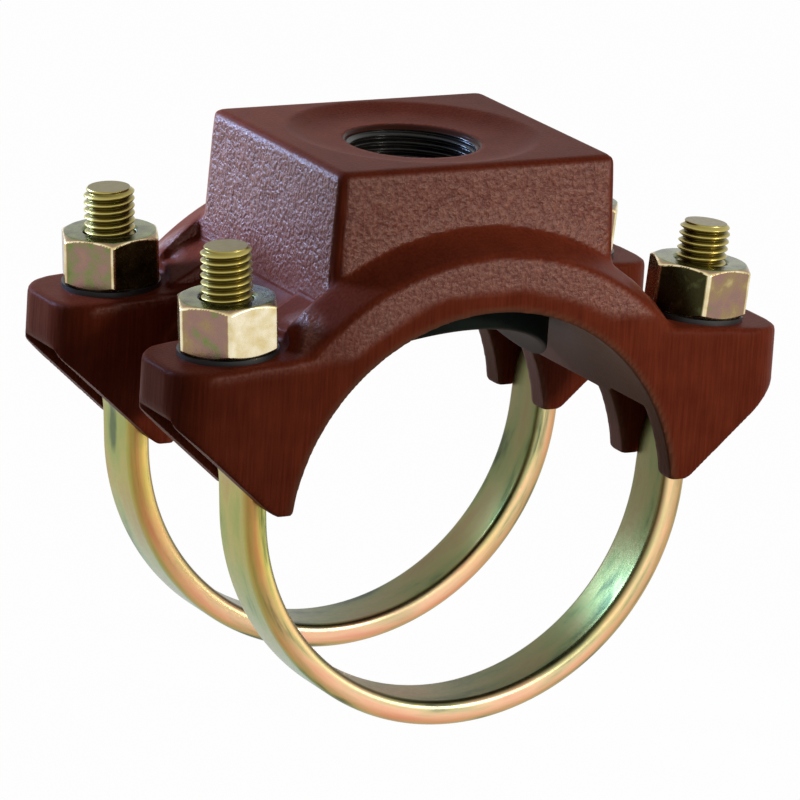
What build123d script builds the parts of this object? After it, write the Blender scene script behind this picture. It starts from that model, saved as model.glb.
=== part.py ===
from build123d import *
from math import cos, radians, sin, sqrt, tan
import os

# Tapping saddle (service saddle) with two straps, for a 4 in water main.
#
# A cast ductile-iron saddle sits on top of the pipe.  Its square boss carries the threaded
# outlet, and a rubber gasket in its underside seals round the hole that is drilled in the main.
# Two U-shaped straps go under the pipe.  Each is a round bar, rolled flat where it bears on the
# pipe and left round at its ends, which are threaded and pass up through the saddle's four lugs.
# A nut on a plastic washer draws each end up.
#
# Millimetres.  X runs across the pipe, Y along it, Z up the outlet.
# The origin is on the pipe's axis, below the centre of the outlet.

# ---- driving dimensions --------------------------------------------------------------------

# seat of the casting, which fits the largest pipe
seat_radius = 66.7

# straps: 5/8 in bar, 11 threads to the inch, drawn smooth at the thread's pitch line
strap_spacing = 81.0
strap_width = 20.2
strap_thickness = 7.8
strap_edge_radius = 1.8
loop_radius = 69.4
loop_centre_z = 9.0
leg_lean = 4.5
flat_end_z = 15.0
round_start_z = 34.0
thread_major_radius = 7.94
thread_pitch_radius = 7.25
stud_chamfer = 1.2
tip_rise = {
    "front_left": 33.2,
    "front_right": 29.5,
    "rear_left": 31.3,
    "rear_right": 31.3,
}

# nuts and washers
nut_across_flats = 29.3
nut_height = 15.9
nut_chamfer_angle = 30.0
nut_face_land = 0.4
nut_mouth_chamfer = 0.7
nut_turn = {
    "front_left": -6.3,
    "front_right": 9.5,
    "rear_left": -7.3,
    "rear_right": 0.0,
}
washer_radius = 15.5
washer_thickness = 1.5
washer_hole_clearance = 1.0

# lugs: an inverted channel of two cheeks, with a flat slab on top for the washer
lug_top_z = 55.7
lug_width = 38.0
lug_reach = 24.4
lug_corner_radius = 13.0
lug_edge_radius = 1.2
lug_slab = 15.2
lug_end_z = 38.3
lug_end_radius = 9.0
toe_z = 8.2
toe_width = 5.8
toe_radius = 3.5
strap_side_gap = 1.0
strap_back_gap = 3.0
channel_mouth_z = 29.0
channel_mouth_depth = 2.0
stud_hole_clearance = 1.4
nut_swing_clearance = 1.6

# arched shell, with a rib round each end and a gusset behind each lug
shell_radius = 82.4
shell_foot_z = 28.5
shell_foot_wall = 10.5
rib_radius = 89.0
rib_end_radius = 84.5
rib_length = 16.0
rib_crest_length = 2.0
rib_edge_radius = 2.5
rib_foot_z = 45.0
gusset_top_z = 67.0
gusset_top_x = 52.0
gusset_foot_z = 58.0
gusset_foot_x = 68.0
gusset_width = 18.0

# outlet boss
boss_top_z = 109.2
boss_length_x = 95.6
boss_length_y = 87.6
boss_draft = 2.5
boss_corner_radius = 5.0
boss_edge_radius = 2.2
boss_foot_z = 55.0
recess_radius = 39.0
recess_depth = 3.0
recess_slope_width = 7.0
outlet_radius = 20.75
outlet_chamfer = 0.7

# gasket, which stands out of its groove far enough to reach the smallest pipe
gasket_radius = 46.0
gasket_hole_radius = 23.0
gasket_thickness = 13.55
gasket_clearance = 0.1
groove_depth = 4.0

# ---- values worked out from them -----------------------------------------------------------

CORNERS = ("front_left", "front_right", "rear_left", "rear_right")

lean = radians(leg_lean)
strap_y = strap_spacing / 2
end_y = strap_y + lug_width / 2
strap_mid_radius = loop_radius + strap_thickness / 2
nut_corner_radius = nut_across_flats / sqrt(3)
groove_radius = seat_radius + groove_depth
smallest_pipe_radius = groove_radius - gasket_thickness

# the right-hand leg: its direction, and the direction square to it, away from the pipe
leg_up = Vector(sin(lean), 0, cos(lean))
leg_out = Vector(cos(lean), 0, -sin(lean))

# where the loop ends and the straight leg begins
leg_start_x = strap_mid_radius * cos(lean)
leg_start_z = loop_centre_z - strap_mid_radius * sin(lean)

# the inner faces of the flat and the round bar are in line, so the round bar's axis is further out
bar_offset = thread_major_radius - strap_thickness / 2


def leg_mid_x(z):
    """Distance of the flat leg's mid-line from the YZ plane at height z."""
    return leg_start_x + (z - leg_start_z) * tan(lean)


stud_x = leg_mid_x(lug_top_z) + bar_offset / cos(lean)
lug_end_x = stud_x + lug_reach
lug_root_x = sqrt(seat_radius**2 - lug_top_z**2)


def lug_top(x):
    """Height of the lug's tilted top face at a distance x from the YZ plane."""
    return lug_top_z - (x - stud_x) * tan(lean)


def leg_plane(z, offset=0.0):
    """Plane square to the right-hand leg where its mid-line passes height z, at Y = 0."""
    origin = Vector(leg_mid_x(z), 0, z) + leg_out * offset
    return Plane(origin=origin, x_dir=leg_out, z_dir=leg_up)


def stud_plane(rise):
    """Plane square to the right-hand stud, at a rise above the lug's top face."""
    origin = Vector(stud_x, 0, lug_top_z) + leg_up * rise
    return Plane(origin=origin, x_dir=leg_out, z_dir=leg_up)


def to_corner(shape, corner):
    """Carry a shape from the right-hand leg at Y = 0 to one of the four corners."""
    if corner.endswith("left"):
        shape = mirror(shape, about=Plane.YZ)
    y = -strap_y if corner.startswith("front") else strap_y
    return Pos(0, y, 0) * shape


def along_pipe(radius, length):
    """A solid cylinder on the pipe's axis, centred on the origin."""
    return Rot(90, 0, 0) * Cylinder(radius, length)


def above(z):
    """A block larger than the saddle, above height z."""
    side = 4 * lug_end_x
    return Pos(0, 0, z) * Box(side, side, side, align=(Align.CENTER, Align.CENTER, Align.MIN))


def outline_across_pipe(points, width, roundings=()):
    """A closed outline in the XZ plane, rounded at chosen corners, drawn out along Y."""
    face = make_face(Polyline(*[(x, 0, z) for x, z in points], close=True))
    for (x, z), radius in roundings:
        corner = face.vertices().sort_by_distance((x, 0, z))[0]
        face = fillet(corner, radius)
    return extrude(face, amount=width / 2, dir=(0, 1, 0), both=True)


# ---- saddle body ---------------------------------------------------------------------------


def arched_shell():
    """The plain shell between its straight feet."""
    foot_x = sqrt(seat_radius**2 - shell_foot_z**2) + shell_foot_wall
    sides = Box(2 * foot_x, 2 * end_y, 4 * foot_x)
    return along_pipe(shell_radius, 2 * end_y) & sides & above(shell_foot_z)


def end_rib():
    """The raised rib round the front end of the shell, lower at its outer edge."""
    crest_y = end_y - rib_length + rib_crest_length
    section = make_face(
        Polyline(
            (seat_radius, end_y - rib_length),
            (rib_radius, end_y - rib_length),
            (rib_radius, crest_y),
            (rib_end_radius, end_y),
            (seat_radius, end_y),
            close=True,
        )
    )
    outer_edge = section.vertices().sort_by_distance((rib_end_radius, end_y))[0]
    section = fillet(outer_edge, rib_edge_radius)
    rear_rib = revolve(section, Axis.Y) & above(rib_foot_z)
    return mirror(rear_rib, about=Plane.XZ)


def outlet_boss():
    """The square boss, drafted outwards to its foot, with rounded corners and top edge."""
    spread = 2 * (boss_top_z - boss_foot_z) * tan(radians(boss_draft))
    foot = RectangleRounded(boss_length_x + spread, boss_length_y + spread, boss_corner_radius)
    boss = extrude(Pos(0, 0, boss_foot_z) * foot, boss_top_z - boss_foot_z, taper=boss_draft)
    top_edges = boss.faces().sort_by(Axis.Z)[-1].edges()
    return fillet(top_edges, boss_edge_radius)


def lug():
    """A right-hand lug at Y = 0, still solid, rounded in plan and round its top edge."""
    toe_x = sqrt(seat_radius**2 - toe_z**2) + toe_width
    outline = [
        (lug_root_x, lug_top(lug_root_x)),
        (lug_end_x, lug_top(lug_end_x)),
        (lug_end_x, lug_end_z),
        (toe_x, toe_z),
        (lug_root_x, toe_z),
    ]
    roundings = [((lug_end_x, lug_end_z), lug_end_radius), ((toe_x, toe_z), toe_radius)]
    cheeks = outline_across_pipe(outline, lug_width, roundings)
    plan = Pos(lug_end_x, 0, 0) * Box(
        lug_end_x, lug_width, boss_top_z, align=(Align.MAX, Align.CENTER, Align.MIN)
    )
    outer_corners = plan.edges().filter_by(Axis.Z).group_by(Axis.X)[-1]
    blank = cheeks & fillet(outer_corners, lug_corner_radius)
    top = blank.faces().sort_by(Axis.Z)[-1]
    return fillet(top.edges(), lug_edge_radius)


def gusset():
    """The cast web that ties a lug to the boss, on the lug's side away from the rib."""
    outline = [
        (lug_root_x, rib_foot_z),
        (gusset_foot_x, rib_foot_z),
        (gusset_foot_x, gusset_foot_z),
        (gusset_top_x, gusset_top_z),
        (lug_root_x, gusset_top_z),
    ]
    return outline_across_pipe(outline, gusset_width)


def strap_channel():
    """The space between a lug's cheeks, open below, outwards and, near the toe, to the pipe."""
    ceiling_x = leg_mid_x(lug_top_z - lug_slab) - strap_thickness / 2 - strap_back_gap
    mouth_x = sqrt(seat_radius**2 - channel_mouth_z**2) - channel_mouth_depth
    clear_x = lug_end_x + lug_reach
    outline = [
        (mouth_x, channel_mouth_z),
        (ceiling_x, lug_top(ceiling_x) - lug_slab),
        (clear_x, lug_top(clear_x) - lug_slab),
        (clear_x, -seat_radius),
        (mouth_x, -seat_radius),
    ]
    return outline_across_pipe(outline, strap_width + 2 * strap_side_gap)


def stud_hole():
    """The clearance hole through a lug's slab, square to its tilted face."""
    radius = thread_major_radius + stud_hole_clearance
    return extrude(stud_plane(washer_thickness) * Circle(radius), -2 * lug_slab)


def nut_space():
    """The space over a lug's face in which the nut turns, cleared out of rib and gusset."""
    radius = nut_corner_radius + nut_swing_clearance
    return extrude(stud_plane(0) * Circle(radius), 4 * nut_height)


def outlet_cut():
    """The outlet's bore, its chamfer, and the shallow dished recess round it."""
    floor_z = boss_top_z - recess_depth
    bore = Cylinder(outlet_radius, boss_top_z, align=(Align.CENTER, Align.CENTER, Align.MIN))
    chamfer_cone = Pos(0, 0, floor_z - outlet_chamfer) * Cone(
        outlet_radius,
        outlet_radius + outlet_chamfer,
        outlet_chamfer,
        align=(Align.CENTER, Align.CENTER, Align.MIN),
    )
    recess = Pos(0, 0, floor_z) * Cone(
        recess_radius - recess_slope_width,
        recess_radius,
        recess_depth,
        align=(Align.CENTER, Align.CENTER, Align.MIN),
    )
    return bore + chamfer_cone + recess


def gasket_disc(radius, inner_radius, outer_radius):
    """What lies between two radii from the pipe's axis, inside an upright cylinder."""
    upright = Cylinder(radius, boss_top_z, align=(Align.CENTER, Align.CENTER, Align.MIN))
    length = 3 * radius
    return (upright & along_pipe(outer_radius, length)) - along_pipe(inner_radius, length)


def saddle_body():
    """The casting, with its seat, channels, holes and outlet cut."""
    body = arched_shell() + outlet_boss() + end_rib() + mirror(end_rib(), about=Plane.XZ)
    gusset_y = end_y - rib_length - gusset_width / 2 - strap_y
    for corner in CORNERS:
        inward = -gusset_y if corner.startswith("front") else gusset_y
        body += to_corner(lug(), corner) + to_corner(Pos(0, inward, 0) * gusset(), corner)
    body -= along_pipe(seat_radius, 3 * end_y)
    for corner in CORNERS:
        body -= to_corner(strap_channel(), corner)
        body -= to_corner(stud_hole(), corner)
        body -= to_corner(nut_space(), corner)
    body -= outlet_cut()
    return body - gasket_disc(gasket_radius, smallest_pipe_radius, groove_radius)


# ---- gasket, straps, nuts and washers ------------------------------------------------------


def outlet_gasket():
    """The moulded rubber ring, saddle-shaped on both faces, in its groove round the outlet."""
    ring = gasket_disc(
        gasket_radius - gasket_clearance,
        smallest_pipe_radius,
        groove_radius - gasket_clearance,
    )
    hole = Cylinder(gasket_hole_radius, boss_top_z, align=(Align.CENTER, Align.CENTER, Align.MIN))
    return ring - hole


def strap_leg(tip):
    """The right-hand leg: flat bar, the swage from flat to round, and the stud to its tip."""
    flat_section = RectangleRounded(strap_thickness, strap_width, strap_edge_radius)
    round_section = Circle(thread_pitch_radius)
    flat_length = (flat_end_z - leg_start_z) / cos(lean)
    flat = extrude(leg_plane(leg_start_z) * flat_section, flat_length)
    swage = loft([
        leg_plane(flat_end_z) * flat_section,
        leg_plane(round_start_z, bar_offset) * round_section,
    ])
    round_base = leg_plane(round_start_z, bar_offset)
    stud_length = (stud_plane(tip).origin - round_base.origin).length
    stud = extrude(round_base * round_section, stud_length)
    tip_edge = stud.edges().filter_by(GeomType.CIRCLE).sort_by(Axis.Z)[-1]
    return flat + swage + chamfer(tip_edge, stud_chamfer)


def strap(end):
    """One strap, front or rear, with its loop bent about the pipe's line."""
    flat_section = RectangleRounded(strap_thickness, strap_width, strap_edge_radius)
    loop_axis = Axis((0, 0, loop_centre_z), (0, 1, 0))
    loop = revolve(leg_plane(leg_start_z) * flat_section, loop_axis, 180 - 2 * leg_lean)
    right_leg = strap_leg(tip_rise[end + "_right"])
    left_leg = mirror(strap_leg(tip_rise[end + "_left"]), about=Plane.YZ)
    y = -strap_y if end == "front" else strap_y
    return Pos(0, y, 0) * (loop + right_leg + left_leg)


def nut(corner):
    """A heavy hexagon nut, chamfered on both faces, seated on its washer."""
    face_radius = nut_across_flats / 2 - nut_face_land
    chamfer_rise = (nut_corner_radius - face_radius) * tan(radians(nut_chamfer_angle))
    hexagon = RegularPolygon(nut_corner_radius, 6, rotation=nut_turn[corner])
    hexagon = extrude(hexagon, nut_height)
    envelope = revolve(
        Plane.XZ
        * make_face(
            Polyline(
                (0, 0),
                (face_radius, 0),
                (nut_corner_radius, chamfer_rise),
                (nut_corner_radius, nut_height - chamfer_rise),
                (face_radius, nut_height),
                (0, nut_height),
                close=True,
            )
        ),
        Axis.Z,
    )
    blank = (hexagon & envelope) - extrude(Circle(thread_major_radius), nut_height)
    mouths = blank.edges().filter_by(GeomType.CIRCLE).group_by(SortBy.RADIUS)[0]
    return to_corner(stud_plane(washer_thickness) * chamfer(mouths, nut_mouth_chamfer), corner)


def washer(corner):
    """The plastic washer that lets the nut turn freely on the painted lug."""
    ring = Circle(washer_radius) - Circle(thread_major_radius + washer_hole_clearance)
    return to_corner(extrude(stud_plane(0) * ring, washer_thickness), corner)


# ---- one STEP file for each piece ----------------------------------------------------------

pieces = {
    "saddle_body": saddle_body(),
    "outlet_gasket": outlet_gasket(),
    "strap_front": strap("front"),
    "strap_rear": strap("rear"),
}
for corner in CORNERS:
    pieces["nut_" + corner] = nut(corner)
    pieces["washer_" + corner] = washer(corner)

os.makedirs("parts", exist_ok=True)
for name, piece in pieces.items():
    piece.label = name
    export_step(piece, "parts/" + name + ".step")
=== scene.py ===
import math

import bmesh
import bpy
import numpy as np
from mathutils import Matrix, Vector
from mathutils.kdtree import KDTree


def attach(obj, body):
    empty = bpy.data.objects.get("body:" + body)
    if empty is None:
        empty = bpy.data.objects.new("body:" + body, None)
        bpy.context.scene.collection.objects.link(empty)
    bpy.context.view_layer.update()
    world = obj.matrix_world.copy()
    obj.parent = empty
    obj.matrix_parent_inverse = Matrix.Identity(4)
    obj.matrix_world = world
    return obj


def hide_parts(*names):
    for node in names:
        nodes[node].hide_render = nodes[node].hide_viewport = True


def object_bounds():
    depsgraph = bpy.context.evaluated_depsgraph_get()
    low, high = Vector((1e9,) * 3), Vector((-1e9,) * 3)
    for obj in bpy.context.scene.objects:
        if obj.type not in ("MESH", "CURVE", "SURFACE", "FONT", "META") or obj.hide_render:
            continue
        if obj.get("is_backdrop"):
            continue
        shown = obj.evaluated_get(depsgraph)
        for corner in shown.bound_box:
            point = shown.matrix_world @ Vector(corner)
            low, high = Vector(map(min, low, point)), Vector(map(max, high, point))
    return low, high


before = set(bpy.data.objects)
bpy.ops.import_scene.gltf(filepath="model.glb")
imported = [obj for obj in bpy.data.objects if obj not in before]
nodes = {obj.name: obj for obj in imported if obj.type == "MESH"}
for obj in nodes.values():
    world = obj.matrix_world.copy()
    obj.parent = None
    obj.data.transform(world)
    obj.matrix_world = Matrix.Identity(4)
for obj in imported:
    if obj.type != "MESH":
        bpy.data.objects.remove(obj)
cad_low, cad_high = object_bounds()
mm = 0.001


# ---- saddle body ---------------------------------------------------------------------------
# The saddle: one ductile-iron casting, poured in green sand, fettled, and dipped in red-oxide
# primer.  The sand leaves its walls pimpled; the paint runs smooth over the rounded edges.
# The lugs' sides are ground, which leaves fine upright lines.

# places on the casting
SEAT_RADIUS = 66.7 * mm
LUG_TOP_Z = 55.7 * mm
STUD_X = 81.25 * mm
STRAP_Y = 40.5 * mm
RIB_FACE_Y = 57.0 * mm
RIB_END = np.array([64.0, 46.0, 63.0]) * mm
OUTLET_RADIUS = 20.75 * mm
OUTLET_FOOT_Z = 66.0 * mm
THREAD_ROOM = 0.8 * mm

# the even mesh, the rounding of its edges and the filling of its corners
CASTING_VOXEL = 1.2 * mm
WELD_DISTANCE = 0.001 * mm
EDGE_ANGLE = math.radians(40)
EDGE_STEP = mm / 3
EDGE_REACH = 1.0 * mm
EDGE_PASSES = 3
WALL_SHARE, EDGE_SHARE = 0.5, 0.1
FILLET_PASSES = 60
FILLET_FOOT_Z = 52.0 * mm
WASHER_ROOM = 21.0 * mm

# the sand-cast skin: where it shows, and how high its lumps stand
SQUARE_ON_FROM, SQUARE_ON_FULL = 0.93, 0.985
SKIN_WANDER, SKIN_WANDER_SIZE = 1.5 * mm, 9.0 * mm
GROUND_RIM, GROUND_RIM_FADE = 7.0 * mm, 1.5 * mm
SKIN_FOOT_SLOPE, SKIN_FOOT_X, SKIN_FOOT_FADE = 0.07, -45.0 * mm, 2.0 * mm
END_WALL_FACING = 0.9
END_WALL_FOOT_Z, END_WALL_CLEAR_Z = 60.0 * mm, 80.0 * mm
BROKEN_CORE, BROKEN_REACH = 5.0 * mm, 14.0 * mm
BROKEN_STUD_ROOM, BROKEN_STUD_CLEAR = 20.0 * mm, 24.0 * mm
BROKEN_SKIN = 0.8
# the share of skin kept on the left-hand end of each rib's face, a painted shade, and where that
# shade runs out
SHADED_END_SKIN = 0.45
SHADED_END_X, SHADED_CLEAR_X = -60.0 * mm, -35.0 * mm
LUMP_SIZE = 5.0 * mm
LUMP_HEIGHT = 0.16 * mm
PAINTED_LUMPS, CAST_LUMPS, BROKEN_LUMPS = 0.04, 0.96, 2
BORE_FROM, BORE_FULL = -2.5 * mm, -0.5 * mm


def value_noise(points, size, seed=0):
    """Smooth noise from -1 to 1: a random value at each corner of a lattice of cubes of the
    given size, hashed from the corner's whole-number address, and a smooth blend between."""
    lattice = points / size
    low = np.floor(lattice).astype(np.int64)
    blend = lattice - low
    blend = blend * blend * (3 - 2 * blend)
    total = np.zeros(len(points))
    for corner in np.ndindex(2, 2, 2):
        address = (low + corner) @ np.array([73856093, 19349663, 83492791]) + seed * 2654435
        address = (address ^ (address >> 13)) * 1274126177 & 0x7FFFFFFF
        value = (address ^ (address >> 16)) % 65536 / 32767.5 - 1
        total += value * np.prod(np.where(corner, blend, 1 - blend), axis=1)
    return total


def smoothstep(low, high, value):
    """0 below low, 1 above high, and a smooth S between."""
    share = np.clip((value - low) / (high - low), 0, 1)
    return share * share * (3 - 2 * share)


def cast_copy(node, name):
    """A copy of a solid with its facets merged, remeshed on an even grid and laid back on the
    solid's own faces."""
    rough = bpy.data.objects.new(name + "_rough", node.data.copy())
    bpy.context.scene.collection.objects.link(rough)
    rough.modifiers.new("merge", "WELD").merge_threshold = WELD_DISTANCE
    remesh = rough.modifiers.new("grid", "REMESH")
    remesh.mode = "VOXEL"
    remesh.voxel_size = CASTING_VOXEL
    wrap = rough.modifiers.new("wrap", "SHRINKWRAP")
    wrap.target = node
    evaluated = rough.evaluated_get(bpy.context.evaluated_depsgraph_get())
    mesh = bpy.data.meshes.new_from_object(evaluated)
    mesh.name = name
    mesh.materials.clear()
    bpy.data.objects.remove(rough)
    mesh.shade_smooth()
    return mesh


def sharp_edges(node):
    """A search tree of points, EDGE_STEP apart, along a solid's sharp outer edges."""
    solid = bmesh.new()
    solid.from_mesh(node.data)
    bmesh.ops.remove_doubles(solid, verts=solid.verts, dist=WELD_DISTANCE)
    along = []
    for edge in solid.edges:
        if edge.is_manifold and edge.is_convex and edge.calc_face_angle() > EDGE_ANGLE:
            start, end = (vertex.co for vertex in edge.verts)
            steps = max(1, round((end - start).length / EDGE_STEP))
            along += [start.lerp(end, step / steps) for step in range(steps)]
    solid.free()
    tree = KDTree(len(along))
    for index, point in enumerate(along):
        tree.insert(point, index)
    tree.balance()
    return tree


def vertex_vectors(collection, field):
    """A vertex collection's vectors as rows of x, y and z."""
    flat = np.empty(3 * len(collection))
    collection.foreach_get(field, flat)
    return flat.reshape(-1, 3).copy()


def relax(points, edges, passes, share, fill_along=None):
    """Moves each point by a share, one for all or one for each, of the way to the mean of its
    neighbours, once a pass.  With normals to fill along, only the part of the move that fills a
    hollow is made."""
    one, other = edges.T
    count = np.bincount(edges.ravel(), minlength=len(points))
    for _ in range(passes):
        total = [np.bincount(one, points[other, axis], len(points))
                 + np.bincount(other, points[one, axis], len(points)) for axis in range(3)]
        move = (np.stack(total) / count).T - points
        if fill_along is not None:
            rise = np.clip((move * fill_along).sum(axis=1), 0, None)
            move = rise[:, None] * fill_along
        points = points + share * move
    return points


def add_attribute(mesh, name, values):
    """One number for each vertex, which a material can read by name."""
    mesh.attributes.new(name, "FLOAT", "POINT").data.foreach_set("value", values)


def show(mesh, name, material, body):
    """An object for a finished mesh, with its material, riding on a body of the frame."""
    piece = bpy.data.objects.new(name, mesh)
    bpy.context.scene.collection.objects.link(piece)
    mesh.materials.append(material)
    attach(piece, body)
    return piece


casting = cast_copy(nodes["saddle_body"], "casting")
points = vertex_vectors(casting.vertices, "co")
normals = vertex_vectors(casting.vertex_normals, "vector")
edges = np.empty(2 * len(casting.edges), dtype=np.int32)
casting.edges.foreach_get("vertices", edges)
edges = edges.reshape(-1, 2)

# points beside a sharp edge are drawn onto it and move less, which keeps it straight, while
# every edge is softened a little
crests = sharp_edges(nodes["saddle_body"])
freedom = np.full((len(points), 1), WALL_SHARE)
for index, point in enumerate(points):
    nearest, _, distance = crests.find(point)
    if distance < EDGE_REACH:
        points[index] = nearest
        freedom[index] = EDGE_SHARE
points = relax(points, edges, EDGE_PASSES, freedom)

# the corners between boss, ribs and shell are filled, clear of washers, seat and outlet
from_stud = np.hypot(np.abs(points[:, 0]) - STUD_X, np.abs(points[:, 1]) - STRAP_Y)
from_pipe = np.hypot(points[:, 0], points[:, 2])
from_outlet = np.hypot(points[:, 0], points[:, 1])
in_corner = smoothstep(0, 4 * mm, points[:, 2] - FILLET_FOOT_Z)
in_corner *= smoothstep(0, 3 * mm, from_stud - WASHER_ROOM)
in_corner *= smoothstep(6 * mm, 9 * mm, from_pipe - SEAT_RADIUS)
in_corner *= smoothstep(0, 3 * mm, from_outlet - OUTLET_RADIUS - 3 * mm)
filled = WALL_SHARE * in_corner[:, None]
points = relax(points, edges, FILLET_PASSES, filled, fill_along=normals)

# as-cast skin: on walls that face squarely along X or Y, above the lugs and the ground rim
wander = SKIN_WANDER * value_noise(points, SKIN_WANDER_SIZE, seed=4)
facing = np.abs(normals[:, :2])
square_on = smoothstep(SQUARE_ON_FROM, SQUARE_ON_FULL, facing.max(axis=1))
over_rim = from_pipe - SEAT_RADIUS - GROUND_RIM + wander
above_rim = smoothstep(-GROUND_RIM_FADE, GROUND_RIM_FADE, over_rim)
skin_foot_z = LUG_TOP_Z + SKIN_FOOT_SLOPE * (points[:, 0] - SKIN_FOOT_X)
over_lugs = points[:, 2] - skin_foot_z + wander
above_lugs = smoothstep(-SKIN_FOOT_FADE, SKIN_FOOT_FADE, over_lugs)
as_cast = square_on * above_rim * above_lugs

# the skin fades out down the boss's end walls toward their foot, where the paint ran thick over the
# prints; losing the pale peaks there also paints shade on that foot
above_foot = smoothstep(END_WALL_FOOT_Z, END_WALL_CLEAR_Z, points[:, 2] + 2 * wander)
as_cast *= np.where(facing[:, 0] > END_WALL_FACING, above_foot, 1)

# the ribs' ends and the gussets beside them came rough from the mould, where the sand broke
from_rib_end = np.linalg.norm(np.abs(points) - RIB_END, axis=1)
broken_sand = 1 - smoothstep(BROKEN_CORE, BROKEN_REACH, from_rib_end + 2 * wander)
broken_sand *= smoothstep(BROKEN_STUD_ROOM, BROKEN_STUD_CLEAR, from_stud)
as_cast = np.maximum(as_cast, BROKEN_SKIN * broken_sand)

# the left-hand end of each rib's face keeps less of the skin, smoother and without its pale peaks: a
# painted shade on that end
clear_of_painted_shade = smoothstep(SHADED_END_X, SHADED_CLEAR_X, points[:, 0])
skin_under_painted_shade = SHADED_END_SKIN + (1 - SHADED_END_SKIN) * clear_of_painted_shade
as_cast *= np.where(np.abs(points[:, 1]) > RIB_FACE_Y, skin_under_painted_shade, 1)

lumps = value_noise(points, LUMP_SIZE, seed=1) + 0.5 * value_noise(points, LUMP_SIZE / 2, seed=2)
lumpy = PAINTED_LUMPS + CAST_LUMPS * as_cast + BROKEN_LUMPS * broken_sand
points += normals * (LUMP_HEIGHT * lumps * lumpy)[:, None]

# the wall of the outlet stands clear of the thread's own piece
from_outlet = np.hypot(points[:, 0], points[:, 1])
wall = OUTLET_RADIUS + THREAD_ROOM
push = np.where((from_outlet < wall) & (points[:, 2] > OUTLET_FOOT_Z), wall / from_outlet, 1.0)
points[:, :2] *= push[:, None]
casting.vertices.foreach_set("co", points.ravel())
add_attribute(casting, "as_cast", as_cast)
add_attribute(casting, "in_bore", smoothstep(BORE_FROM, BORE_FULL, SEAT_RADIUS - from_pipe))


def linear(colour):
    """An sRGB hex colour as linear red, green, blue and alpha."""
    srgb = np.array([int(colour[i:i + 2], 16) for i in (0, 2, 4)]) / 255
    rgb = np.where(srgb <= 0.04045, srgb / 12.92, ((srgb + 0.055) / 1.055) ** 2.4)
    return (*rgb.tolist(), 1.0)


def add(tree, kind, settings=None, links=None):
    """Adds a node, sets its properties and sockets by name, and links sockets to outputs."""
    node = tree.nodes.new(kind)
    for name, value in (settings or {}).items():
        if isinstance(name, str) and hasattr(node, name):
            setattr(node, name, value)
        else:
            node.inputs[name].default_value = value
    for name, output in (links or {}).items():
        tree.links.new(output, node.inputs[name])
    return node


def new_material(name):
    """An empty node material: its tree, its output node and the object's own coordinates."""
    material = bpy.data.materials.new(name)
    material.use_nodes = True
    tree = material.node_tree
    tree.nodes.clear()
    output = add(tree, "ShaderNodeOutputMaterial")
    place = add(tree, "ShaderNodeTexCoord").outputs["Object"]
    return material, tree, output, place


# Red-oxide primer: iron oxide in alkyd, air-dried, half matt.  The moulding sand's prints are 1 to 2
# mm across, and their tops are paler: partly thin paint there, and partly a painted highlight on the
# lit grains.  The grinding lines are some 0.2 mm apart, which is too fine to show, and are drawn 0.9
# mm apart.  Inside the seat, in_bore, the paint is dulled by handling.
SAND_GRAIN = 1.45 * mm
PAINT_RUN = 9.0 * mm
GRINDING_LINE = 0.9 * mm
PRIMER_DARK, PRIMER, PRIMER_PALE = linear("5c2314"), linear("70301d"), linear("96614f")

primer, tree, output, place = new_material("red_oxide_primer")
skin = add(tree, "ShaderNodeAttribute", {"attribute_name": "as_cast"}).outputs["Fac"]
grain = add(tree, "ShaderNodeTexNoise", {"Scale": 1 / SAND_GRAIN, "Detail": 4.0}, {"Vector": place})
runs = add(tree, "ShaderNodeTexNoise", {"Scale": 1 / PAINT_RUN, "Detail": 3.0}, {"Vector": place})
stretch = add(tree, "ShaderNodeMapping", {"Scale": (1.0, 1.0, 0.05)}, {"Vector": place})
lines = add(tree, "ShaderNodeTexNoise", {"Scale": 1 / GRINDING_LINE, "Detail": 2.0},
            {"Vector": stretch.outputs["Vector"]})
run_share = add(tree, "ShaderNodeMath", {"operation": "MULTIPLY", 1: 0.5}, {0: runs.outputs["Fac"]})
depth = add(tree, "ShaderNodeMath", {"operation": "MULTIPLY_ADD", 1: 0.7},
            {0: lines.outputs["Fac"], 2: run_share.outputs["Value"]})
shade = add(tree, "ShaderNodeValToRGB", links={"Fac": depth.outputs["Value"]})
shade.color_ramp.elements[0].position = 0.43
shade.color_ramp.elements[0].color = PRIMER_DARK
shade.color_ramp.elements[1].position = 0.78
shade.color_ramp.elements[1].color = PRIMER
# the prints' peaks on the skin are mixed toward the pale colour: partly thin paint, partly a painted
# highlight
peaks = add(tree, "ShaderNodeMath", {"operation": "MULTIPLY_ADD", 1: 2.6, 2: -1.0, "use_clamp": True},
            {0: grain.outputs["Fac"]})
pale_peaks_and_glints = add(tree, "ShaderNodeMath", {"operation": "MULTIPLY"},
            {0: peaks.outputs["Value"], 1: skin})
painted = add(tree, "ShaderNodeMix", {"data_type": "RGBA", 7: PRIMER_PALE},
              {0: pale_peaks_and_glints.outputs["Value"], 6: shade.outputs["Color"]})
bore = add(tree, "ShaderNodeAttribute", {"attribute_name": "in_bore"}).outputs["Fac"]
handled = add(tree, "ShaderNodeMath", {"operation": "MULTIPLY", 1: 0.55}, {0: bore})
dulled = add(tree, "ShaderNodeMix", {"data_type": "RGBA", 7: linear("6a4e3c")},
             {0: handled.outputs["Value"], 6: painted.outputs[2]})
rough = add(tree, "ShaderNodeMapRange", {"To Min": 0.46, "To Max": 0.36}, {"Value": skin})
shine = add(tree, "ShaderNodeMapRange", {"To Min": 0.03, "To Max": 0.32}, {"Value": skin})
cast_height = add(tree, "ShaderNodeMath", {"operation": "MULTIPLY"},
                  {0: grain.outputs["Fac"], 1: skin})
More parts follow.
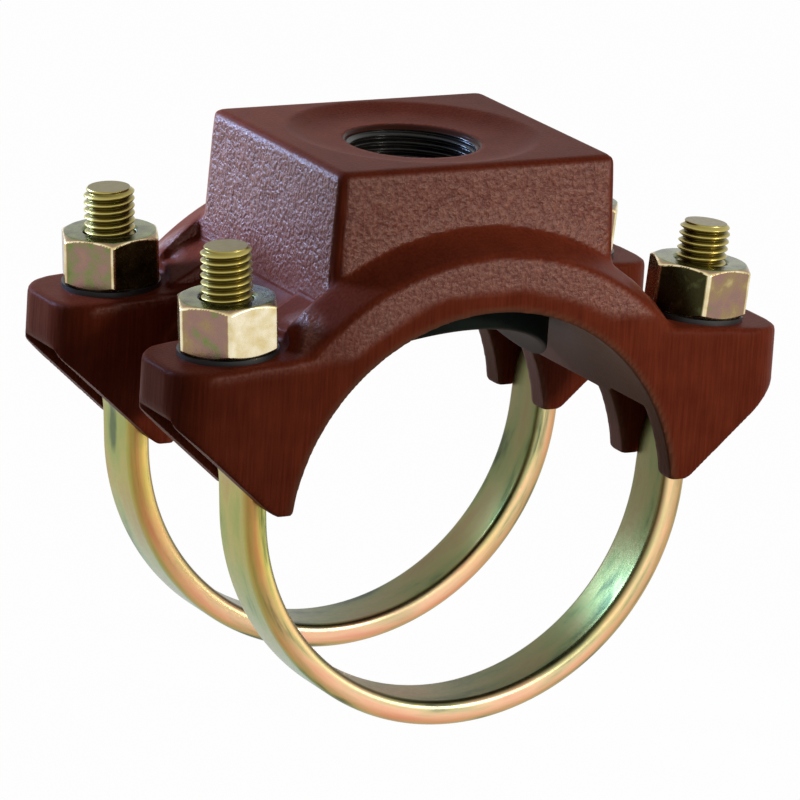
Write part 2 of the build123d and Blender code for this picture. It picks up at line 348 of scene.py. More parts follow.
line_height = add(tree, "ShaderNodeMath", {"operation": "MULTIPLY_ADD", 1: 0.12},
                  {0: lines.outputs["Fac"], 2: cast_height.outputs["Value"]})
bump = add(tree, "ShaderNodeBump", {"Strength": 1.0, "Distance": 0.9 * mm},
           {"Height": line_height.outputs["Value"]})
paint = add(tree, "ShaderNodeBsdfPrincipled", {"IOR": 1.5},
            {"Base Color": dulled.outputs[2], "Roughness": rough.outputs["Result"],
             "Specular IOR Level": shine.outputs["Result"], "Normal": bump.outputs["Normal"]})
tree.links.new(paint.outputs["BSDF"], output.inputs["Surface"])

body = show(casting, "saddle_casting", primer, "saddle")
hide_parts("saddle_body")


# ---- outlet thread -------------------------------------------------------------------------
# The outlet's 1-1/4 in taper pipe thread, tapped in the bare iron after casting and then
# oiled, so that it is nearly black and shines.  11-1/2 turns to the inch, 1 in 16 taper.

OUTLET_PITCH = 25.4 * mm / 11.5
OUTLET_TAPER = 1 / 32
OUTLET_THREAD_DEPTH = 1.5 * mm
OUTLET_TOP_Z = 105.5 * mm
OUTLET_CHAMFER = 0.7 * mm
OUTLET_END_Z = 72.0 * mm
OUTLET_RUN_IN = 0.6 * OUTLET_PITCH
OUTLET_WALL = 0.65 * mm
OUTLET_LIP = 0.6 * mm
OUTLET_COLUMNS = 144
OUTLET_STEPS_A_TURN = 12


def ridge(turns):
    """A 60 degree thread's section, once for each turn: a triangle wave from 0 at the root to 1
    at the crest, 1 - |2 * turns - 1|, made steeper and cut off so that both ends are flat."""
    wave = 1 - np.abs(2 * (turns % 1) - 1)
    return np.clip(1.25 * wave - 0.12, 0, 1)


def wrapped_grid(name, grid, closed=False, capped=False):
    """A mesh from rows of points that run round a ring.  Closed joins the last row to the
    first; capped covers the first and last rows with one flat-shaded face each."""
    rows, columns = grid.shape[:2]
    row = np.arange(rows if closed else rows - 1)[:, None]
    column = np.arange(columns)[None, :]
    after_row, after_column = (row + 1) % rows, (column + 1) % columns
    corners = [row * columns + column, row * columns + after_column,
               after_row * columns + after_column, after_row * columns + column]
    faces = np.stack(corners, axis=-1).reshape(-1, 4).tolist()
    if capped:
        faces.append(list(range(columns - 1, -1, -1)))
        faces.append(list(range((rows - 1) * columns, rows * columns)))
    mesh = bpy.data.meshes.new(name)
    mesh.from_pydata(grid.reshape(-1, 3), [], faces)
    mesh.shade_smooth()
    if capped:
        mesh.polygons[-1].use_smooth = False
        mesh.polygons[-2].use_smooth = False
    return mesh


def outlet_thread():
    """A tube wall carried round the outlet: its inner side is r = R - (top - z) * taper - depth *
    ridge(z / pitch - angle / 360), its outer side a plain cylinder just inside the casting, and
    its lip, on_lip, folds over the outlet's chamfer."""
    angle = np.linspace(0, 2 * math.pi, OUTLET_COLUMNS, endpoint=False)[None, :]
    turns = (OUTLET_TOP_Z - OUTLET_END_Z) / OUTLET_PITCH
    z = np.linspace(OUTLET_TOP_Z, OUTLET_END_Z, int(turns * OUTLET_STEPS_A_TURN))[:, None]
    below = OUTLET_TOP_Z - z
    depth = OUTLET_THREAD_DEPTH * smoothstep(0, OUTLET_RUN_IN, below)
    cut = depth * ridge(z / OUTLET_PITCH - angle / (2 * math.pi))
    inner = OUTLET_RADIUS - below * OUTLET_TAPER - cut
    outer = OUTLET_RADIUS + OUTLET_WALL
    rim_z = OUTLET_TOP_Z + OUTLET_CHAMFER
    rim = [(outer + 0.5 * mm, rim_z - 0.9 * mm), (outer + 0.45 * mm, rim_z - 0.15 * mm),
           (OUTLET_RADIUS + OUTLET_CHAMFER, rim_z - 0.1 * mm)]
    foot = [(outer, OUTLET_END_Z), (outer, OUTLET_TOP_Z - 2 * mm)]
    even = np.ones_like(angle)
    radius = [r * even for r, _ in rim] + [inner] + [r * even for r, _ in foot]
    height = [h * even for _, h in rim] + [z * even] + [h * even for _, h in foot]
    radius, height = np.concatenate(radius), np.concatenate(height)
    grid = np.stack([radius * np.cos(angle), radius * np.sin(angle), height], axis=-1)
    mesh = wrapped_grid("outlet_thread", grid[::-1], closed=True)
    on_lip = height[::-1] > OUTLET_TOP_Z - OUTLET_LIP
    add_attribute(mesh, "on_lip", on_lip.astype(float).ravel())
    return mesh


# Cut iron under old cutting oil: near black, with a broken shine where the oil lies thicker.
# The primer's spray dulls its lip.
oiled, tree, output, place = new_material("oiled_tapped_iron")
smear = add(tree, "ShaderNodeTexNoise", {"Scale": 1 / (2.5 * mm), "Detail": 3.0}, {"Vector": place})
tint = add(tree, "ShaderNodeValToRGB", links={"Fac": smear.outputs["Fac"]})
tint.color_ramp.elements[0].color = linear("0b0c0c")
tint.color_ramp.elements[1].color = linear("24221f")
gloss = add(tree, "ShaderNodeMapRange", {"To Min": 0.12, "To Max": 0.34},
            {"Value": smear.outputs["Fac"]})
lip = add(tree, "ShaderNodeAttribute", {"attribute_name": "on_lip"}).outputs["Fac"]
overspray = add(tree, "ShaderNodeMix", {"data_type": "RGBA", 7: linear("3a1c14")},
                {0: lip, 6: tint.outputs["Color"]})
shine = add(tree, "ShaderNodeMapRange", {"To Min": 0.22, "To Max": 0.03}, {"Value": lip})
iron = add(tree, "ShaderNodeBsdfPrincipled", {"IOR": 1.5},
           {"Base Color": overspray.outputs[2], "Roughness": gloss.outputs["Result"],
            "Specular IOR Level": shine.outputs["Result"]})
tree.links.new(iron.outputs["BSDF"], output.inputs["Surface"])

show(outlet_thread(), "outlet_thread", oiled, "saddle")


# ---- outlet gasket -------------------------------------------------------------------------
# The gasket: a ring of black rubber, moulded to the curve of the pipe and cemented in its
# groove round the outlet, where it stands out far enough to seal on the smallest pipe.

GASKET_HOLE_RADIUS = 23.0 * mm
GASKET_RADIUS = 45.9 * mm
GASKET_FACE_RADIUS = 57.15 * mm
GASKET_BACK_RADIUS = 70.6 * mm
GASKET_BULGE = 1 / 5
GASKET_ROWS, GASKET_COLUMNS = 64, 180


def gasket_ring():
    """A rounded rectangle, cos(t) ** (1 / 5) by sin(t) ** (1 / 5), carried round the outlet.  Its
    width runs out from the outlet's axis and its height out from the pipe's axis: z =
    sqrt(height ** 2 - x ** 2).  The face that meets the pipe carries on_face."""
    angle = np.linspace(0, 2 * math.pi, GASKET_COLUMNS, endpoint=False)[None, :]
    turn = np.linspace(0, 2 * math.pi, GASKET_ROWS, endpoint=False)[:, None]
    across, up = np.cos(turn), np.sin(turn)
    across = np.sign(across) * np.abs(across) ** GASKET_BULGE
    up = np.sign(up) * np.abs(up) ** GASKET_BULGE
    middle = (GASKET_RADIUS + GASKET_HOLE_RADIUS) / 2
    half = (GASKET_RADIUS - GASKET_HOLE_RADIUS) / 2
    radius = middle + half * across
    level = (GASKET_BACK_RADIUS + GASKET_FACE_RADIUS) / 2
    level = level + (GASKET_BACK_RADIUS - GASKET_FACE_RADIUS) / 2 * up
    x = radius * np.cos(angle)
    grid = np.stack([x, radius * np.sin(angle), np.sqrt(level ** 2 - x ** 2)], axis=-1)
    mesh = wrapped_grid("gasket_ring", grid, closed=True)
    on_face = np.broadcast_to(smoothstep(0.8, 1.0, -up), x.shape)
    add_attribute(mesh, "on_face", on_face.ravel())
    return mesh


# Black rubber, matt and finely pored, with a faint greenish bloom; the face that meets the
# pipe is brown with dust.
rubber, tree, output, place = new_material("moulded_black_rubber")
bloom = add(tree, "ShaderNodeTexNoise", {"Scale": 1 / (7 * mm), "Detail": 4.0}, {"Vector": place})
tint = add(tree, "ShaderNodeValToRGB", links={"Fac": bloom.outputs["Fac"]})
tint.color_ramp.elements[0].color = linear("0c100e")
tint.color_ramp.elements[1].color = linear("202824")
pores = add(tree, "ShaderNodeTexNoise", {"Scale": 1 / (0.8 * mm), "Detail": 2.0}, {"Vector": place})
bump = add(tree, "ShaderNodeBump", {"Strength": 0.6, "Distance": 0.05 * mm},
           {"Height": pores.outputs["Fac"]})
face = add(tree, "ShaderNodeAttribute", {"attribute_name": "on_face"}).outputs["Fac"]
dusted = add(tree, "ShaderNodeMix", {"data_type": "RGBA", 7: linear("4c3e37")},
             {0: face, 6: tint.outputs["Color"]})
skin = add(tree, "ShaderNodeBsdfPrincipled", {"Roughness": 0.6, "Specular IOR Level": 0.03},
           {"Base Color": dusted.outputs[2], "Normal": bump.outputs["Normal"]})
tree.links.new(skin.outputs["BSDF"], output.inputs["Surface"])

gasket = show(gasket_ring(), "rubber_gasket", rubber, "saddle")
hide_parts("outlet_gasket")


# ---- straps --------------------------------------------------------------------------------
# Each strap is a 5/8 in steel bar, rolled flat round the loop and left round at both ends,
# which are threaded 11 turns to the inch.  It is bent to a U, zinc plated and passivated
# yellow, which gives gold with drifts of pink, olive and blue-green.

BAR_RADIUS = 7.94 * mm
STRAP_WIDTH = 20.2 * mm
STRAP_THICKNESS = 7.8 * mm
STRAP_EDGE_RADIUS = 2.6 * mm
LOOP_INNER_RADIUS = 69.4 * mm
LOOP_RADIUS = LOOP_INNER_RADIUS + STRAP_THICKNESS / 2
LOOP_CENTRE_Z = 9.0 * mm
LEAN = math.radians(4.5)
FLAT_END_Z = 15.0 * mm
ROUND_START_Z = 34.0 * mm
SWAGE_LEAD = 2.0 * mm
STUD_PITCH = 25.4 * mm / 11
STUD_RADIUS, STUD_ROOT_RADIUS = 7.9 * mm, 6.55 * mm
STUD_RUN_OUT = 3.0 * mm
STUD_CHAMFER = 1.3 * mm
TIP_END_SHADE = 0.75
LOOP_STEPS, SWAGE_STEPS, STUD_STEPS_A_TURN = 90, 60, 12
STRAP_COLUMNS = 72
TIP_RISE = {"front": (33.2 * mm, 29.5 * mm), "rear": (31.3 * mm, 31.3 * mm)}

leg_start = np.array([LOOP_RADIUS * math.cos(LEAN), LOOP_CENTRE_Z - LOOP_RADIUS * math.sin(LEAN)])
leg_up = np.array([math.sin(LEAN), math.cos(LEAN)])
leg_out = np.array([math.cos(LEAN), -math.sin(LEAN)])
bar_offset = BAR_RADIUS - STRAP_THICKNESS / 2
stud_foot_x = leg_start[0] + (LUG_TOP_Z - leg_start[1]) * math.tan(LEAN) + bar_offset / leg_out[0]
stud_foot = np.array([stud_foot_x, LUG_TOP_Z])


def half_strap(tip_rise):
    """Stations from the bottom of the loop to the right-hand tip, one row each: the middle's x
    and z, the outward direction's x and z, half thickness, half width, the section's corner
    radius, the thread's depth and the distance along the stud from the lug's face."""
    bend = np.linspace(-math.pi / 2, -LEAN, LOOP_STEPS, endpoint=False)
    out = np.stack([np.cos(bend), np.sin(bend)], axis=1)
    loop = out * LOOP_RADIUS + [0, LOOP_CENTRE_Z]
    swage_top = (ROUND_START_Z - leg_start[1]) / leg_up[1]
    tip = (stud_foot - leg_start) @ leg_up + tip_rise
    turns = (tip - swage_top) / STUD_PITCH
    plain = np.linspace(0, swage_top, SWAGE_STEPS, endpoint=False)
    threaded = np.linspace(swage_top, tip, int(turns * STUD_STEPS_A_TURN))
    climb = np.concatenate([plain, threaded])
    leg = leg_start + climb[:, None] * leg_up
    swage_foot = (FLAT_END_Z - leg_start[1]) / leg_up[1]
    rounded = smoothstep(swage_foot - SWAGE_LEAD, swage_top, climb)
    leg = leg + (bar_offset * rounded)[:, None] * leg_out
    thickness = STRAP_THICKNESS / 2 + (STUD_RADIUS - STRAP_THICKNESS / 2) * rounded
    width = STRAP_WIDTH / 2 + (STUD_RADIUS - STRAP_WIDTH / 2) * rounded
    chamfer = np.clip(STUD_CHAMFER - (tip - climb), 0, None)
    corner = STRAP_EDGE_RADIUS + (STUD_RADIUS - STRAP_EDGE_RADIUS) * rounded - chamfer
    run_out = smoothstep(swage_top, swage_top + STUD_RUN_OUT, climb)
    depth = (STUD_RADIUS - STUD_ROOT_RADIUS) * run_out
    height = climb - (tip - tip_rise)
    flat_part = np.ones(len(bend))
    return {
        "middle": np.concatenate([loop, leg]),
        "out": np.concatenate([out, np.tile(leg_out, (len(climb), 1))]),
        "thickness": np.concatenate([flat_part * STRAP_THICKNESS / 2, thickness - chamfer]),
        "width": np.concatenate([flat_part * STRAP_WIDTH / 2, width - chamfer]),
        "corner": np.concatenate([flat_part * STRAP_EDGE_RADIUS, corner]),
        "depth": np.concatenate([flat_part * 0, np.clip(depth - chamfer, 0, None)]),
        "height": np.concatenate([flat_part * 0, height]),
    }


def strap_mesh(name, y, rises):
    """A section carried along the loop and both legs.  Round the section, out and across are
    (a - r) * sign(cos t) + r * cos t and (b - r) * sign(sin t) + r * sin t, where the corner
    radius r grows until a = b = r on the round; the thread is cut in by its own depth.  It
    carries facing_out, -1 on the inner face and 1 on the outer; along, metres along the bar;
    thread_cut, 1 at a thread's root; and on_thread."""
    left, right = (half_strap(rise) for rise in rises)
    left["middle"] = left["middle"] * [-1, 1]
    left["out"] = left["out"] * [-1, 1]
    side = {key: np.concatenate([left[key][:0:-1], right[key]]) for key in left}
    hand = np.concatenate([-np.ones(len(left["height"]) - 1), np.ones(len(right["height"]))])
    t = (np.arange(STRAP_COLUMNS)[None, :] + 0.5) * 2 * math.pi / STRAP_COLUMNS
    radius = side["corner"][:, None]
    turns = side["height"][:, None] / STUD_PITCH - hand[:, None] * t / (2 * math.pi)
    cut = side["depth"][:, None] * (1 - ridge(turns))
    reach = (side["thickness"][:, None] - radius) * np.sign(np.cos(t)) + (radius - cut) * np.cos(t)
    across = (side["width"][:, None] - radius) * np.sign(np.sin(t)) + (radius - cut) * np.sin(t)
    x = side["middle"][:, :1] + reach * side["out"][:, :1]
    z = side["middle"][:, 1:] + reach * side["out"][:, 1:]
    grid = np.stack([x, y + across, z], axis=-1)
    mesh = wrapped_grid(name, grid, capped=True)
    cut = cut / (STUD_RADIUS - STUD_ROOT_RADIUS)
    # the tips' cut ends take most of the roots' dark tint: a painted shade on the end faces
    cut[[0, -1]] = TIP_END_SHADE
    step = np.linalg.norm(np.diff(side["middle"], axis=0, prepend=side["middle"][:1]), axis=1)
    along = np.cumsum(step)[:, None]
    add_attribute(mesh, "facing_out", (reach / side["thickness"][:, None]).ravel())
    add_attribute(mesh, "along", np.broadcast_to(along, x.shape).ravel())
    add_attribute(mesh, "thread_cut", cut.ravel())
    add_attribute(mesh, "on_thread", np.broadcast_to(side["depth"][:, None] > 0, x.shape).ravel())
    return mesh


# Yellow chromate on zinc: a thin coat over bright metal, tinted by its thickness, which drifts over
# some 30 mm along the bar.  The colours are also set by which way the surface faces, and that is
# painted light: the outer faces are olive, the inner faces a darker olive as painted shade, and the
# bar's narrow side runs from a dark line at the inner edge, a painted shade, through a pale gold
# painted highlight to tan.  Low on the loop and to the right the colours are paler and pinker, with a
# blue-green outer face, as painted highlight and reflection.  The threads' roots are darkened as
# painted shade.
zinc, tree, output, place = new_material("yellow_zinc_bar")
facing = add(tree, "ShaderNodeAttribute", {"attribute_name": "facing_out"}).outputs["Fac"]
cut = add(tree, "ShaderNodeAttribute", {"attribute_name": "thread_cut"}).outputs["Fac"]
along = add(tree, "ShaderNodeAttribute", {"attribute_name": "along"}).outputs["Fac"]
run = add(tree, "ShaderNodeMath", {"operation": "MULTIPLY", 1: 0.3}, {0: along})
flank = add(tree, "ShaderNodeMath", {"operation": "MULTIPLY", 1: 12 * mm}, {0: facing})
apart = add(tree, "ShaderNodeSeparateXYZ", links={0: place})
streak = add(tree, "ShaderNodeCombineXYZ",
             links={"X": run.outputs["Value"], "Y": flank.outputs["Value"], "Z": apart.outputs["Y"]})
drift = add(tree, "ShaderNodeTexNoise", {"Scale": 1 / (9 * mm), "Detail": 4.0},
            {"Vector": streak.outputs["Vector"]})
# colour by facing, from the inner face at 0 to the outer face at 1: a darker inner face and a dark
# inner-edge line as painted shade, and a pale gold painted highlight on the narrow side
side = add(tree, "ShaderNodeMath", {"operation": "MULTIPLY_ADD", 1: 0.5, 2: 0.5}, {0: facing})
upper_film_painted_light = add(tree, "ShaderNodeValToRGB", links={"Fac": side.outputs["Value"]})
upper_film_painted_light.color_ramp.elements[0].color = linear("7d8053")
upper_film_painted_light.color_ramp.elements[1].color = linear("a8a86a")
for position, colour in ((0.06, "55502c"), (0.2, "f6e79c"), (0.36, "e2c67c"), (0.62, "b98f60"),
                         (0.88, "9a8a50")):
    upper_film_painted_light.color_ramp.elements.new(position).color = linear(colour)
lower_film_painted_light = add(tree, "ShaderNodeValToRGB", links={"Fac": side.outputs["Value"]})
lower_film_painted_light.color_ramp.elements[0].color = linear("6c6a4c")
lower_film_painted_light.color_ramp.elements[1].color = linear("93b0a6")
for position, colour in ((0.06, "5a4c34"), (0.24, "efdac0"), (0.5, "f4cbb6"), (0.76, "dba98a"),
                         (0.94, "b3a070")):
    lower_film_painted_light.color_ramp.elements.new(position).color = linear(colour)
# low on the loop and towards the right the lower colours take over, paler and pinker with a
# blue-green outer face: painted highlight and reflection
low = add(tree, "ShaderNodeMapRange", {"From Min": -55 * mm, "From Max": -10 * mm, "To Min": 1.0,
                                       "To Max": 0.0}, {"Value": apart.outputs["Z"]})
right = add(tree, "ShaderNodeMapRange", {"From Min": 30 * mm, "From Max": 60 * mm, "To Max": 0.75},
            {"Value": apart.outputs["X"]})
low_right_highlight_share = add(tree, "ShaderNodeMath", {"operation": "MAXIMUM"},
           {0: low.outputs["Result"], 1: right.outputs["Result"]})
film_and_painted_light = add(tree, "ShaderNodeMix", {"data_type": "RGBA"},
           {0: low_right_highlight_share.outputs["Value"], 6: upper_film_painted_light.outputs["Color"], 7: lower_film_painted_light.outputs["Color"]})
warm = add(tree, "ShaderNodeValToRGB", links={"Fac": drift.outputs["Fac"]})
warm.color_ramp.elements[0].position = 0.30
warm.color_ramp.elements[0].color = linear("80988a")
warm.color_ramp.elements[1].position = 0.70
warm.color_ramp.elements[1].color = linear("ffdfcf")
warm.color_ramp.elements.new(0.42).color = linear("dfeccb")
warm.color_ramp.elements.new(0.55).color = linear("fff4dc")
tinted = add(tree, "ShaderNodeMix", {"data_type": "RGBA", "blend_type": "MULTIPLY", 0: 1.0},
             {6: film_and_painted_light.outputs[2], 7: warm.outputs["Color"]})
threaded = add(tree, "ShaderNodeAttribute", {"attribute_name": "on_thread"}).outputs["Fac"]
crest = add(tree, "ShaderNodeMix", {"data_type": "RGBA", 7: linear("b3a55e")},
            {0: threaded, 6: tinted.outputs[2]})
# the thread's roots are darkened according to their depth of cut: a painted shade in the grooves
root_painted_shade = add(tree, "ShaderNodeMix", {"data_type": "RGBA", 7: linear("4a4019")},
             {0: cut, 6: crest.outputs[2]})
scuff = add(tree, "ShaderNodeTexNoise", {"Scale": 1 / (1.5 * mm), "Detail": 5.0}, {"Vector": place})
rough = add(tree, "ShaderNodeMapRange", {"To Min": 0.24, "To Max": 0.40},
            {"Value": scuff.outputs["Fac"]})
bump = add(tree, "ShaderNodeBump", {"Strength": 0.5, "Distance": 0.05 * mm},
           {"Height": scuff.outputs["Fac"]})
metal = add(tree, "ShaderNodeBsdfPrincipled", {"Metallic": 1.0},
            {"Base Color": root_painted_shade.outputs[2], "Roughness": rough.outputs["Result"],
             "Normal": bump.outputs["Normal"]})
tree.links.new(metal.outputs["BSDF"], output.inputs["Surface"])

for end, y in (("front", -STRAP_Y), ("rear", STRAP_Y)):
    strap = show(strap_mesh("bar_" + end, y, TIP_RISE[end]), "bar_" + end, zinc,
                 "strap_" + end)
    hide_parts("strap_" + end)


# ---- nuts ----------------------------------------------------------------------------------
# Heavy hexagon nuts for 5/8 in studs, hot forged from bar, chamfered on both faces, tapped
# and plated like the straps.  Each stands on a plastic washer, square to its leaning stud.

NUT_ACROSS_FLATS = 29.3 * mm
NUT_HEIGHT = 15.9 * mm
NUT_BORE_RADIUS = 8.05 * mm
NUT_MOUTH = 0.9 * mm
NUT_FACE_RADIUS = NUT_ACROSS_FLATS / 2 - 0.4 * mm
NUT_CHAMFER = math.tan(math.radians(30))
NUT_EDGE = 0.25 * mm
NUT_SHARPNESS = 90
NUT_COLUMNS = 216
WASHER_THICKNESS = 1.5 * mm

# the tint painted on each nut's six flats for what each flat reflects, from 0, cream, to 1, dark
# olive, and on its other parts: bright corners and chamfers, which are painted highlights, and a dark
# top face, a painted reflection
NUT_FLAT_REFLECTIONS = {
    "front_left": (0.3, 0.6, 0.4, 0.5, 0.07, 0.50),
    "front_right": (0.2, 0.5, 0.4, 1.0, 0.44, 0.3),
    "rear_left": (0.5, 0.3, 0.1, 0.4, 0.80, 0.60),
    "rear_right": (0.4, 0.2, 0.6, 0.3, 0.5, 0.1),
}
HIGHLIGHT_CORNER_RADIUS = 16.6 * mm
CORNER_HIGHLIGHT, CHAMFER_HIGHLIGHT, TOP_DARK_REFLECTION = 0.08, 0.10, 0.8

# how far round each nut stopped, in degrees
NUT_TURN = {"front_left": -6.3, "front_right": 9.5, "rear_left": -7.3, "rear_right": 0.0}


def nut_mesh(corner):
    """A profile of rings from the bore's middle out over both faces.  The wall's radius is that of a
    hexagon with softened corners, (sum of max(0, cos(angle - k * 60)) ** 90) ** (-1 / 90), and the
    chamfers cut it on cones of 30 degrees.  It carries the plating's tint with painted light on it: a
    painted reflection on each flat, painted highlights on the corners and chamfers, and a painted
    dark reflection on the top face."""
    angle = np.linspace(0, 2 * math.pi, NUT_COLUMNS, endpoint=False)
    flats = np.cos(angle[:, None] - np.arange(6) * math.pi / 3 - math.pi / 6)
    blend = (np.clip(flats, 0, None) ** NUT_SHARPNESS).sum(axis=1)
    wall = NUT_ACROSS_FLATS / 2 * blend ** (-1 / NUT_SHARPNESS)
    even = np.ones_like(wall)
    slope = (wall - NUT_FACE_RADIUS) * NUT_CHAMFER
    rise = slope + NUT_EDGE * 0.6
    face = (NUT_FACE_RADIUS - NUT_EDGE) * even
    inset = wall - np.minimum(NUT_EDGE, (wall - NUT_FACE_RADIUS) * 0.4)
    cone_rise = (inset - NUT_FACE_RADIUS) * NUT_CHAMFER
    half = [
        (NUT_BORE_RADIUS * even, 0.5 * NUT_HEIGHT * even),
        (NUT_BORE_RADIUS * even, NUT_MOUTH * even),
        ((NUT_BORE_RADIUS + NUT_MOUTH) * even, 0 * even),
        ((NUT_BORE_RADIUS + NUT_MOUTH + NUT_EDGE) * even, 0 * even),
        (face, 0 * even),
        (face + NUT_EDGE, 0.03 * mm * even),
        (inset, np.maximum(cone_rise, 0.05 * mm)),
        (wall, rise),
        (wall, rise + NUT_EDGE),
    ]
    profile = half + [(r, NUT_HEIGHT - h) for r, h in half[:0:-1]]
    radius = np.stack([r for r, _ in profile])
    height = np.stack([h for _, h in profile]) + WASHER_THICKNESS
    turned = angle + math.radians(NUT_TURN[corner])
    hand = -1 if corner.endswith("left") else 1
    out = hand * radius * np.cos(turned)
    y = radius * np.sin(turned) + (-STRAP_Y if corner.startswith("front") else STRAP_Y)
    x = hand * stud_foot[0] + out * leg_out[0] + hand * height * leg_up[0]
    z = stud_foot[1] + hand * out * leg_out[1] + height * leg_up[1]
    # each flat takes its painted reflection; corners, chamfers and the top face follow
    film_and_painted_light = np.array(NUT_FLAT_REFLECTIONS[corner])[flats.argmax(axis=1)] + 0 * radius
    # painted highlights on the rounded corners and the chamfers, and a painted dark reflection on the
    # top face
    film_and_painted_light = np.where(wall > HIGHLIGHT_CORNER_RADIUS, CORNER_HIGHLIGHT, film_and_painted_light)
    from_middle = np.abs(height - WASHER_THICKNESS - NUT_HEIGHT / 2)
    film_and_painted_light = np.where(from_middle > NUT_HEIGHT / 2 - rise, CHAMFER_HIGHLIGHT, film_and_painted_light)
    film_and_painted_light = np.where((radius <= NUT_FACE_RADIUS) & (height > NUT_HEIGHT), TOP_DARK_REFLECTION, film_and_painted_light)
    order = slice(None) if hand > 0 else slice(None, None, -1)
    mesh = wrapped_grid("nut_" + corner, np.stack([x, y, z], axis=-1)[order], closed=True)
    add_attribute(mesh, "film_and_painted_light", film_and_painted_light[order].ravel())
    return mesh


# The same yellow zinc on the nuts, with another tint painted on each flat for what it reflects: cream
# at the low end, then gold, tan, rose and olive.  Corners and chamfers are painted bright as
# highlights.
nut_zinc, tree, output, place = new_material("yellow_zinc_nut")
painted_reflection = add(tree, "ShaderNodeAttribute", {"attribute_name": "film_and_painted_light"}).outputs["Fac"]
drift = add(tree, "ShaderNodeTexNoise", {"Scale": 1 / (6 * mm), "Detail": 4.0}, {"Vector": place})
uneven = add(tree, "ShaderNodeMath", {"operation": "MULTIPLY_ADD", 1: 0.7, 2: -0.35},
             {0: drift.outputs["Fac"]})
total = add(tree, "ShaderNodeMath", {"operation": "ADD"}, {0: uneven.outputs["Value"], 1: painted_reflection})
film_and_painted_light = add(tree, "ShaderNodeValToRGB", links={"Fac": total.outputs["Value"]})
film_and_painted_light.color_ramp.elements[0].position = 0.0
film_and_painted_light.color_ramp.elements[0].color = linear("eee3c4")
film_and_painted_light.color_ramp.elements[1].position = 0.95
film_and_painted_light.color_ramp.elements[1].color = linear("33301c")
for position, colour in ((0.16, "d8c490"), (0.38, "97805c"), (0.52, "93726a"), (0.66, "767f4e")):
    film_and_painted_light.color_ramp.elements.new(position).color = linear(colour)
scuff = add(tree, "ShaderNodeTexNoise", {"Scale": 1 / (0.9 * mm), "Detail": 4.0}, {"Vector": place})
rough = add(tree, "ShaderNodeMapRange", {"To Min": 0.16, "To Max": 0.34},
            {"Value": scuff.outputs["Fac"]})
bump = add(tree, "ShaderNodeBump", {"Strength": 0.4, "Distance": 0.05 * mm},
           {"Height": scuff.outputs["Fac"]})
metal = add(tree, "ShaderNodeBsdfPrincipled", {"Metallic": 1.0},
            {"Base Color": film_and_painted_light.outputs["Color"], "Roughness": rough.outputs["Result"],
             "Normal": bump.outputs["Normal"]})
tree.links.new(metal.outputs["BSDF"], output.inputs["Surface"])

for corner in NUT_TURN:
    nut = show(nut_mesh(corner), "hex_" + corner, nut_zinc, "nut_" + corner)
    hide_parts("nut_" + corner)


# ---- washers -------------------------------------------------------------------------------
# Washers punched from black nylon sheet, which keep the nuts off the paint.  The plastic is
# half matt with a faint haze.  They show the CAD's own meshes.

plastic, tree, output, place = new_material("black_nylon_washer")
haze = add(tree, "ShaderNodeTexNoise", {"Scale": 1 / (1.2 * mm), "Detail": 2.0}, {"Vector": place})
tint = add(tree, "ShaderNodeValToRGB", links={"Fac": haze.outputs["Fac"]})
tint.color_ramp.elements[0].color = linear("0a0a0b")
tint.color_ramp.elements[1].color = linear("1b1b1d")
nylon = add(tree, "ShaderNodeBsdfPrincipled", {"Roughness": 0.42, "IOR": 1.53},
            {"Base Color": tint.outputs["Color"]})
tree.links.new(nylon.outputs["BSDF"], output.inputs["Surface"])
for corner in NUT_TURN:
    washer = nodes["washer_" + corner]
    washer.data.materials.clear()
    washer.data.materials.append(plastic)


# ---- studio --------------------------------------------------------------------------------
# A floor that the camera sees as white but for a small share that takes the shadow, a dim even
# room, three soft lamps and the camera.  The bluish lamp draws light along the boss's edges.

FLOOR_SIDE = 6.0
FLOOR_WHITE = 0.985
ROOM_LIGHT = 0.08
floor_z = cad_low[2] - 0.2 * mm
floor_mesh = bpy.data.meshes.new("floor")
side = FLOOR_SIDE / 2
floor_mesh.from_pydata([(-side, -side, floor_z), (side, -side, floor_z), (side, side, floor_z),
                        (-side, side, floor_z)], [], [(0, 1, 2, 3)])
floor = bpy.data.objects.new("floor", floor_mesh)
bpy.context.scene.collection.objects.link(floor)
floor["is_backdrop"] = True


def sees_white(tree):
    """An output that is 1 for the camera's own rays and for those it sees mirrored or through a
    clear material, and 0 for rays that carry light: the sum of the three kinds, held to 1."""
    ray = add(tree, "ShaderNodeLightPath")
    total = ray.outputs["Is Camera Ray"]
    for kind in ("Is Glossy Ray", "Is Transmission Ray"):
        step = add(tree, "ShaderNodeMath", {"operation": "ADD", "use_clamp": True},
                   {0: total, 1: ray.outputs[kind]})
        total = step.outputs["Value"]
    return total


paper, tree, output, _ = new_material("white_paper")
seen = add(tree, "ShaderNodeMath", {"operation": "MULTIPLY", 1: FLOOR_WHITE}, {0: sees_white(tree)})
matt = add(tree, "ShaderNodeBsdfDiffuse", {"Color": linear("e8e8e6")})
glow = add(tree, "ShaderNodeEmission", {"Strength": 1.0})
mixed = add(tree, "ShaderNodeMixShader", links={
    0: seen.outputs["Value"], 1: matt.outputs["BSDF"], 2: glow.outputs["Emission"]})
tree.links.new(mixed.outputs["Shader"], output.inputs["Surface"])
floor_mesh.materials.append(paper)

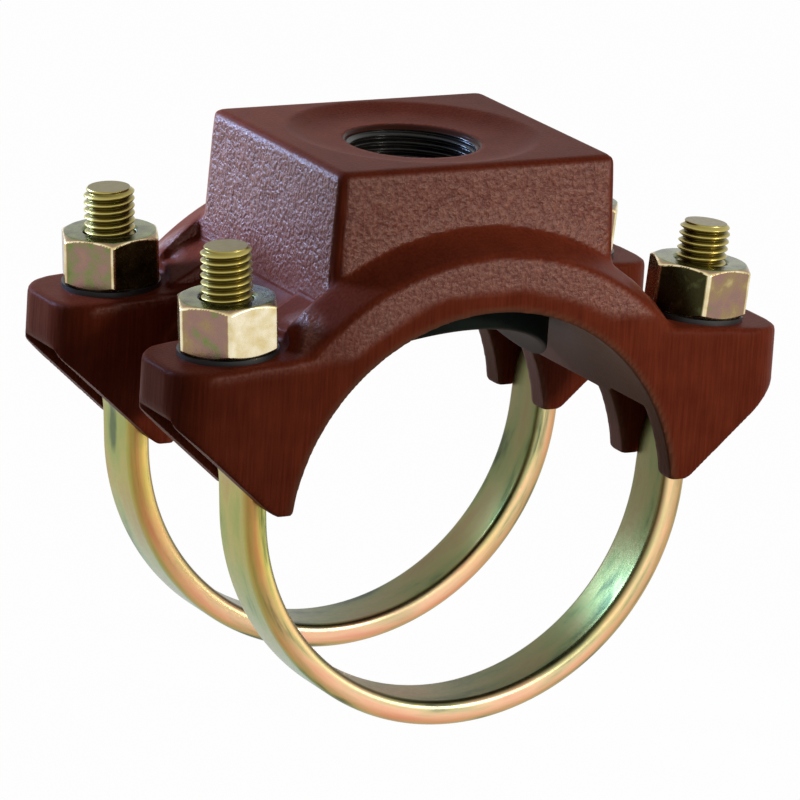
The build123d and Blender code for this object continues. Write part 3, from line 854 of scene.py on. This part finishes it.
world = bpy.data.worlds.new("studio")
world.use_nodes = True
bpy.context.scene.world = world
tree = world.node_tree
tree.nodes.clear()
output = add(tree, "ShaderNodeOutputWorld")
room = add(tree, "ShaderNodeBackground", {"Color": linear("ffffff"), "Strength": ROOM_LIGHT})
white = add(tree, "ShaderNodeBackground", {"Color": linear("ffffff"), "Strength": 1.0})
mixed = add(tree, "ShaderNodeMixShader", links={
    0: sees_white(tree), 1: room.outputs["Background"], 2: white.outputs["Background"]})
tree.links.new(mixed.outputs["Shader"], output.inputs["Surface"])


def lamp(name, kind, place, aim, power, colour):
    """A lamp at a place, turned to face a point."""
    light = bpy.data.lights.new(name, kind)
    light.energy = power
    light.color = linear(colour)[:3]
    holder = bpy.data.objects.new(name, light)
    bpy.context.scene.collection.objects.link(holder)
    holder.location = place
    holder.rotation_euler = (Vector(aim) - Vector(place)).to_track_quat("-Z", "Y").to_euler()
    return light


rim = lamp("left_rear_spot", "SPOT", (-0.20, 0.24, 0.19), (-0.05, 0.044, 0.09), 22.0, "a8c8ff")
rim.spot_size = math.radians(30)
rim.spot_blend = 1.0
rim.shadow_soft_size = 0.07
lamp("front_box", "AREA", (0.8, -1.4, 0.45), (0, 0, 0.02), 4.6, "fff6ea").size = 0.8
key = lamp("key_spot", "SPOT", (0.75, -1.25, 0.5), (0.06, -0.06, 0.055), 52.0, "fff4e6")
key.spot_size = math.radians(13)
key.spot_blend = 1.0
key.shadow_soft_size = 0.10

CAMERA_AZIMUTH, CAMERA_ELEVATION = math.radians(-29.08), math.radians(15.72)
CAMERA_ROLL = math.radians(3.61)
CAMERA_DISTANCE = 2.098
CAMERA_LENS, SENSOR_WIDTH = 301.1, 36.0
LOOK_AT_RIGHT, LOOK_AT_UP = 0.00256, 0.02185

forward = -Vector((math.sin(CAMERA_AZIMUTH) * math.cos(CAMERA_ELEVATION),
                   -math.cos(CAMERA_AZIMUTH) * math.cos(CAMERA_ELEVATION),
                   math.sin(CAMERA_ELEVATION)))
level = forward.cross(Vector((0, 0, 1))).normalized()
rise = level.cross(forward)
right = level * math.cos(CAMERA_ROLL) + rise * math.sin(CAMERA_ROLL)
up = rise * math.cos(CAMERA_ROLL) - level * math.sin(CAMERA_ROLL)
lens = bpy.data.cameras.new("camera")
lens.lens = CAMERA_LENS
lens.sensor_width = SENSOR_WIDTH
camera = bpy.data.objects.new("camera", lens)
bpy.context.scene.collection.objects.link(camera)
camera.matrix_world = Matrix((right, up, -forward)).transposed().to_4x4()
camera.location = right * LOOK_AT_RIGHT + up * LOOK_AT_UP - forward * CAMERA_DISTANCE
bpy.context.scene.camera = camera
bpy.context.scene.view_settings.view_transform = "Standard"

low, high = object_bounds()
